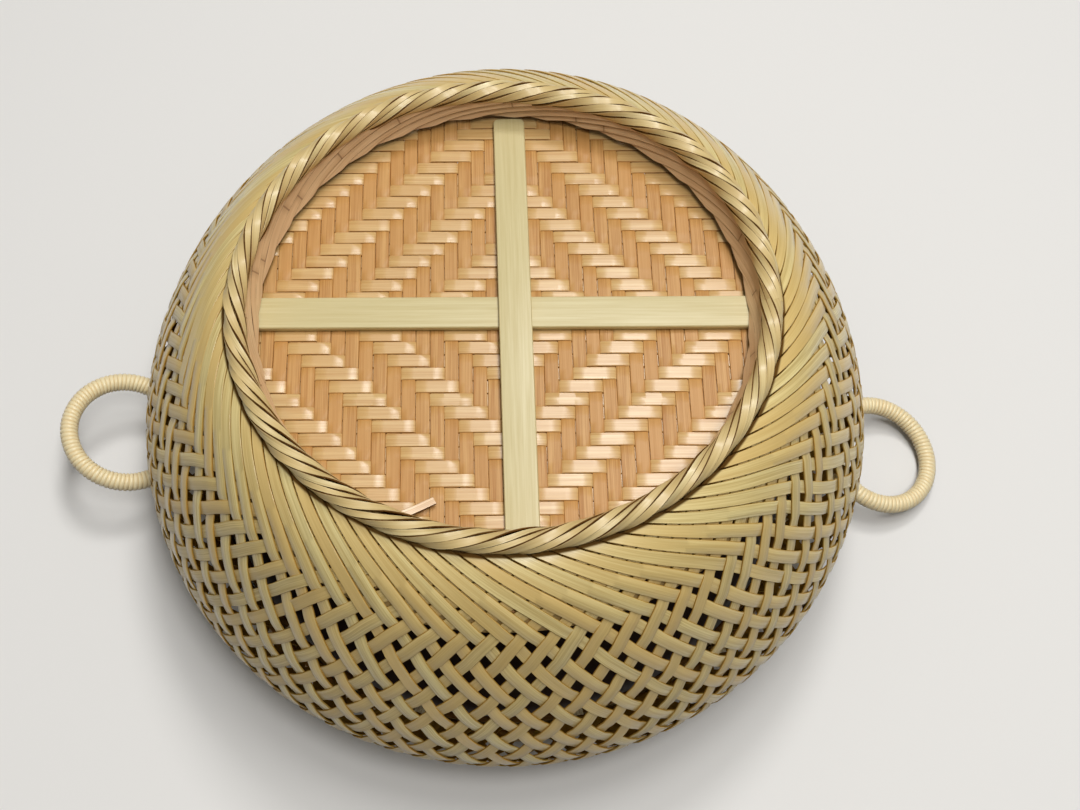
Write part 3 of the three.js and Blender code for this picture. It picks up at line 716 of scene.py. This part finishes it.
def foot_band():
    """Strips that come up under the rope at a shallow slope, each lapped over the next and cut off level
    at its lower end. The end of one more has come loose and lies over the mat."""
    strips = Strips(FLAT)
    top, bottom = np.array(BAND_TOP), np.array(BAND_BOTTOM)
    rise = np.linalg.norm(top - bottom)
    upward = (top - bottom) / rise
    inward = np.array([-upward[1], upward[0]])
    slope = math.atan2(rise, math.radians(BAND_STRIP_SPAN) * bottom[0])
    share = np.r_[0, np.linspace(*BAND_CLIMB, BAND_RINGS)]
    for number in range(BAND_STRIPS):
        first = TURN * number / BAND_STRIPS + random.uniform(-BAND_SPREAD, BAND_SPREAD)
        angle = first - share * BAND_STRIP_SPAN
        radius = bottom[0] + upward[0] * rise * share + BAND_DEPTH / 2 + foot_oval(angle) * share
        height = bottom[1] + upward[1] * rise * share
        path = round_z(radius, height, angle)
        out = round_z(inward[0] + 0 * share, inward[1] + 0 * share, angle)
        across = np.cross(out, unit(np.gradient(path, axis=0)))
        width = BAND_STRIP_WIDTH * random.uniform(*BAND_WIDTHS)
        strips.add(path, out + across * math.radians(BAND_TILT), width, BAND_STRIP_THICKNESS,
                   skew=-1 / math.tan(slope))
    loose = bezier(LOOSE_END[0], LOOSE_END[1], LOOSE_END[1], LOOSE_END[2], LOOSE_END_POINTS)
    strips.add(loose, UP, LOOSE_END_WIDTH, BAND_STRIP_THICKNESS, tone=0.1)
    return strips.build("foot_band")


dress(foot_band(), "basket", "band_bamboo", band_bamboo, "foot_inner_band")


# Base

def rows_on_top(column, row):
    """True where a strip that runs along X lies over one that runs along Y: twill in nested diamonds."""
    return (abs(column) + abs(row) + TWILL_SHIFT) % (2 * TWILL) < TWILL


def mat_strips(name, along_x):
    strips = Strips(FLAT)
    turn = math.radians(ROW_TURN if along_x else 90 + COLUMN_TURN)
    forward = np.array([math.cos(turn), math.sin(turn)])
    other_turn = math.radians(90 + COLUMN_TURN if along_x else ROW_TURN)
    beside = np.array([math.cos(other_turn), math.sin(other_turn)])
    pitch, other_pitch = (ROW_PITCH, COLUMN_PITCH) if along_x else (COLUMN_PITCH, ROW_PITCH)
    most = int(MAT_RADIUS / min(ROW_PITCH, COLUMN_PITCH)) + 2
    for number in range(-most, most + 1):
        start = np.array(MAT_CENTRE) + beside * pitch * number
        nearest = -start @ forward
        off_centre = np.linalg.norm(start + forward * nearest)
        if off_centre > MAT_RADIUS - pitch:
            continue
        reach = MAT_RADIUS - random.uniform(0, MAT_END_SPREAD)
        half = math.sqrt(reach ** 2 - (off_centre + MAT_STRIP_WIDTH / 2) ** 2)
        crossings = np.arange(-2 * most, 2 * most + 1)
        place = np.sort(np.concatenate([crossings - MAT_FLAT, crossings + MAT_FLAT, crossings + 0.5]))
        length = place * other_pitch
        inside = np.abs(length - nearest) < half - LAST_RING
        length = np.r_[nearest - half, length[inside], nearest + half]
        place = length / other_pitch
        low = np.floor(place).astype(int)

        def level(other):
            over = rows_on_top(other, number) if along_x else not rows_on_top(number, other)
            return 1.0 if over else -1.0

        here = np.array([level(i) for i in low])
        after = np.array([level(i + 1) for i in low])
        rise = MAT_LIFT * (here + (after - here) * smooth(MAT_FLAT, 1 - MAT_FLAT, place - low))
        flat = start + forward * length[:, None] + beside * sway(length, *MAT_SWAY)[:, None]
        path = np.column_stack([flat, MAT_MIDDLE + rise])
        width = MAT_STRIP_WIDTH * random.normal(1, MAT_WIDTH_SPREAD)
        strips.add(path, UP, width, MAT_STRIP_THICKNESS)
    return strips.build(name)


dress(mat_strips("mat_rows", True), "basket", "mat_bamboo", mat_row_bamboo_painted_sheen, "base_mat")
dress(mat_strips("mat_columns", False), "basket", "mat_bamboo", mat_column_bamboo, "base_mat")


def batten(name, width, rise, turn, place):
    """A batten with rounded corners, sprung up in its middle by this rise over what it crosses."""
    strips = Strips(SLAT)
    corner = np.linspace(0, 90, CORNER_POINTS)
    rounded = BATTEN_CORNER * (1 - np.cos(np.radians(corner)))
    straight = np.linspace(0, BATTEN_END - BATTEN_CORNER, BATTEN_POINTS)
    half = np.r_[straight[:-1], (BATTEN_END - rounded)[::-1]]
    length = np.r_[-half[:0:-1], half]
    beyond = np.clip((np.abs(length) - BATTEN_END) / BATTEN_CORNER + 1, 0, 1)
    cut = BATTEN_CORNER * (1 - np.sqrt(1 - beyond ** 2))
    lift = rise * (1 - smooth(0, 1, np.abs(length) / BATTEN_END))
    angle = math.radians(turn)
    path = np.column_stack([place[0] + length * math.cos(angle), place[1] + length * math.sin(angle),
                            BATTEN_MIDDLE + lift])
    strips.add(path, UP, width - 2 * cut, BATTEN_THICKNESS, tone=0.4)
    return strips.build(name)


dress(batten("batten_lower", LOWER_BATTEN_WIDTH, 0.0, LOWER_BATTEN_TURN, LOWER_BATTEN_PLACE), "basket",
      "batten_bamboo", batten_bamboo, "base_batten_lower")
dress(batten("batten_upper", UPPER_BATTEN_WIDTH, BATTEN_RISE, UPPER_BATTEN_TURN, UPPER_BATTEN_PLACE),
      "basket", "batten_bamboo", batten_bamboo, "base_batten_upper")

base_hoop_middle = (np.array(BASE_HOOP_TOP) + BASE_HOOP_BOTTOM) / 2
base_hoop_run = np.subtract(BASE_HOOP_TOP, BASE_HOOP_BOTTOM)
base_hoop_lean = math.degrees(math.atan2(-base_hoop_run[0], base_hoop_run[1]))
dress(hoop("base_hoop_inside", SLAT, base_hoop_middle[0], base_hoop_middle[1],
           float(np.linalg.norm(base_hoop_run)), BASE_HOOP_THICKNESS, base_hoop_lean),
      "basket", "hoop_bamboo", hoop_bamboo, "base_hoop")


# Mouth rim

dress(hoop("rim_hoop_outside", SLAT, OUTER_HOOP_RADIUS, HOOP_MIDDLE, HOOP_HEIGHT, HOOP_THICKNESS), "basket",
      "rim_bamboo", hoop_bamboo, "rim_outer_hoop")
dress(hoop("rim_hoop_inside", SLAT, INNER_HOOP_RADIUS, HOOP_MIDDLE, HOOP_HEIGHT, HOOP_THICKNESS), "basket",
      "rim_bamboo", hoop_bamboo, "rim_inner_hoop")


def rim_ties():
    """Flat rattan round both hoops, in a few turns side by side at each tie."""
    strips = Strips(PEEL)
    left, low, right, high = TIE_BOX
    corners = ((right, low, -90), (right, high, 0), (left, high, 90), (left, low, 180))
    outline, normals = [], []
    for x, z, start in corners:
        centre = np.array([x - math.copysign(TIE_CORNER, x - (left + right) / 2),
                           z - math.copysign(TIE_CORNER, z - (low + high) / 2)])
        for angle in np.radians(start + np.linspace(0, 90, CORNER_POINTS)):
            normal = np.array([math.cos(angle), math.sin(angle)])
            outline.append(centre + TIE_CORNER * normal)
            normals.append(normal)
    outline = np.array(outline + outline[:1])
    normals = np.array(normals + normals[:1])
    for tie in range(TIES):
        angle = math.radians(TURN * (tie + 0.5) / TIES)
        radial = np.array([math.cos(angle), math.sin(angle), 0])
        tangent = np.array([-math.sin(angle), math.cos(angle), 0])
        for turn in range(TIE_TURNS):
            beside = TIE_PITCH * (turn - (TIE_TURNS - 1) / 2)
            path = outline[:, :1] * radial + outline[:, 1:] * UP + tangent * beside
            out = normals[:, :1] * radial + normals[:, 1:] * UP
            strips.add(path, out, TIE_WIDTH, TIE_THICKNESS)
    return strips.build("rim_ties")


dress(rim_ties(), "basket", "tie_rattan", rattan, *[f"rim_tie_{i + 1:02d}" for i in range(TIES)])


# Ring handles

def ring_frame(side):
    """A ring's hinge and middle, the way from one to the other, the hinge's axis and the ring's own."""
    joint = next(j for j in frame["joints"] if j["name"] == f"{side}_ring_swing")
    low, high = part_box(f"{side}_ring_core")
    middle = np.array((low + high) / 2) / MM
    hinge = np.array(joint["pos_m"]) / MM
    forward = unit(middle - hinge)
    sideways = unit(np.array(joint["axis"]))
    return hinge, hinge + forward * RING_RADIUS, forward, sideways, np.cross(forward, sideways)


def ring_winding(name, side):
    strips = Strips(PEEL)
    _, middle, forward, sideways, axis = ring_frame(side)
    along = np.linspace(0, math.tau, WRAP_TURNS * WRAP_STEPS + 1)[:, None] + math.pi
    round_core = along * WRAP_TURNS
    outward = np.cos(along) * forward + np.sin(along) * sideways
    away = np.cos(round_core) * outward + np.sin(round_core) * axis
    path = middle + outward * RING_RADIUS + away * (WRAP_INSIDE + WRAP_THICKNESS / 2)
    radius = RING_RADIUS + (WRAP_INSIDE + WRAP_THICKNESS) * np.cos(round_core[:, 0])
    pitch = math.tau * radius / WRAP_TURNS
    strips.add(path, away, WRAP_COVER * pitch, WRAP_THICKNESS, tone=0.4)
    return strips.build(name)


def ring_core(name, side):
    strips = Strips(ROUND)
    _, middle, forward, sideways, _ = ring_frame(side)
    along = np.linspace(0, math.tau, RING_STEPS + 1)[:, None]
    outward = np.cos(along) * forward + np.sin(along) * sideways
    strips.add(middle + outward * RING_RADIUS, outward, 2 * RING_CORE_RADIUS, 2 * RING_CORE_RADIUS)
    return strips.build(name)


def handle_loop(name, side):
    """A closed loop of rattan round the ring, through the wall on both sides of it."""
    strips = Strips(ROUND)
    hinge, _, _, sideways, _ = ring_frame(side)
    outward = unit(hinge * (1, 1, 0))
    lean = math.radians(LOOP_LEAN)
    reach = outward * math.cos(lean) + UP * math.sin(lean)
    rise = -outward * math.sin(lean) + UP * math.cos(lean)
    turn = np.linspace(-math.pi / 2, math.pi / 2, LOOP_BEND_STEPS + 1)
    front = np.column_stack([LOOP_REACH * np.cos(turn), LOOP_REACH * np.sin(turn)])
    back = np.column_stack([-LOOP_LEG - LOOP_TUCK * np.cos(turn), -LOOP_REACH * np.sin(turn)])
    legs = np.linspace(0, 1, LOOP_LEG_STEPS + 1)[1:-1, None]
    upper = front[-1] + (back[0] - front[-1]) * legs
    lower = back[-1] + (front[0] - back[-1]) * legs
    half = LOOP_BEND_STEPS // 2
    flat = np.vstack([back[half:], lower, front, upper, back[:half + 1]])
    path = hinge + flat[:, :1] * reach + flat[:, 1:] * rise
    strips.add(path, sideways, 2 * LOOP_RADIUS, 2 * LOOP_RADIUS, tone=0.5)
    return strips.build(name)


for side in ("left", "right"):
    body = f"{side}_ring"
    dress(ring_winding(f"{side}_ring_winding", side), body, "ring_rattan", rattan, f"{side}_ring_wrap")
    dress(ring_core(f"{side}_ring_cane", side), body, "ring_cane", cane, f"{side}_ring_core")
    dress(handle_loop(f"{side}_loop", side), "basket", "tie_rattan", rattan, f"{side}_handle_loop")


# Stage, light and camera

def floor():
    """A plain floor, pale to the camera, that throws less light back up and has a disc of painted shade
    under the basket.
    """
    mesh = bpy.data.meshes.new("floor")
    corners = [(x * FLOOR_HALF, y * FLOOR_HALF, 0) for x, y in ((-1, -1), (1, -1), (1, 1), (-1, 1))]
    mesh.from_pydata(corners, [], [(0, 1, 2, 3)])
    ground = bpy.data.objects.new("floor", mesh)
    bpy.context.scene.collection.objects.link(ground)
    shader = Shader("pale_floor")
    ray = shader.nodes.new("ShaderNodeLightPath").outputs
    away = shader.nodes.new("ShaderNodeVectorMath")
    away.operation = "LENGTH"
    place = shader.nodes.new("ShaderNodeNewGeometry").outputs["Position"]
    shader.put(away.inputs[0], place)
    # Painted shade under the basket: full near the middle, gone by the mouth's radius
    shade_beneath = shader.range(away.outputs["Value"], FLOOR_SHADE_REACH, MOUTH[0] * MM, 1.0, 0.0)
    colour = shader.mix(ray["Is Diffuse Ray"], linear(*FLOOR_COLOUR), linear(*FLOOR_BOUNCE_COLOUR))
    colour = shader.mix(shade_beneath, colour, linear(*FLOOR_SHADE_COLOUR))
    shader.put(shader.surface.inputs["Base Color"], colour)
    shader.surface.inputs["Roughness"].default_value = FLOOR_ROUGHNESS
    shader.surface.inputs["Specular IOR Level"].default_value = FLOOR_SPECULAR
    far = shader.range(away.outputs["Value"], *FLOOR_FADE)
    backdrop = shader.nodes.new("ShaderNodeEmission")
    backdrop.inputs["Color"].default_value = linear(*BACKDROP)
    blend = shader.nodes.new("ShaderNodeMixShader")
    shader.put(blend.inputs[0], shader.sum("MULTIPLY", far, ray["Is Camera Ray"]))
    shader.links.new(shader.surface.outputs[0], blend.inputs[1])
    shader.links.new(backdrop.outputs[0], blend.inputs[2])
    shader.links.new(blend.outputs[0], shader.nodes["Material Output"].inputs["Surface"])
    mesh.materials.append(shader.material)


def lamp(name, place, size, power):
    """A round soft light that faces the basket."""
    light = bpy.data.lights.new(name, "AREA")
    light.shape = "DISK"
    light.size = size
    light.energy = power
    holder = bpy.data.objects.new(name, light)
    holder.location = place
    facing = Vector(LAMP_TARGET) - Vector(place)
    holder.rotation_euler = facing.to_track_quat("-Z", "Y").to_euler()
    bpy.context.scene.collection.objects.link(holder)


def studio():
    """The lamps, and a sky that grows brighter overhead. The camera sees a plain backdrop instead of it."""
    for name, (place, size, power) in LAMPS.items():
        lamp(name, place, size, power)
    world = bpy.data.worlds.new("studio")
    world.use_nodes = True
    nodes, links = world.node_tree.nodes, world.node_tree.links
    height = nodes.new("ShaderNodeSeparateXYZ")
    links.new(nodes.new("ShaderNodeTexCoord").outputs["Generated"], height.inputs[0])
    sky = nodes.new("ShaderNodeMapRange")
    sky.inputs["To Min"].default_value = SKY_AT_HORIZON
    sky.inputs["To Max"].default_value = SKY_OVERHEAD
    links.new(height.outputs["Z"], sky.inputs["Value"])
    background = nodes["Background"]
    background.inputs["Color"].default_value = SKY_TINT
    links.new(sky.outputs[0], background.inputs["Strength"])
    seen = nodes.new("ShaderNodeBackground")
    seen.inputs["Color"].default_value = linear(*BACKDROP)
    blend = nodes.new("ShaderNodeMixShader")
    links.new(nodes.new("ShaderNodeLightPath").outputs["Is Camera Ray"], blend.inputs[0])
    links.new(background.outputs[0], blend.inputs[1])
    links.new(seen.outputs[0], blend.inputs[2])
    links.new(blend.outputs[0], nodes["World Output"].inputs["Surface"])
    bpy.context.scene.world = world


def camera():
    look = np.array([0, math.cos(CAMERA_PITCH), -math.sin(CAMERA_PITCH)])
    level = np.array([1.0, 0, 0])
    upright = np.cross(level, look)
    right = math.cos(CAMERA_ROLL) * level + math.sin(CAMERA_ROLL) * upright
    up = math.cos(CAMERA_ROLL) * upright - math.sin(CAMERA_ROLL) * level
    place = (np.array(CAMERA_TARGET) - CAMERA_DISTANCE * look) * MM
    lens = bpy.data.cameras.new("camera")
    lens.sensor_fit = "HORIZONTAL"
    lens.sensor_width = SENSOR_WIDTH
    lens.lens = FOCAL_LENGTH / FRAME_WIDTH * SENSOR_WIDTH
    lens.clip_start = NEAREST_SEEN * MM
    holder = bpy.data.objects.new("camera", lens)
    turned = Matrix(np.column_stack([right, up, -look]).tolist()).to_4x4()
    holder.matrix_world = Matrix.Translation(place.tolist()) @ turned
    bpy.context.scene.collection.objects.link(holder)
    bpy.context.scene.camera = holder


floor()
studio()
camera()
bpy.context.scene.view_settings.view_transform = "Standard"
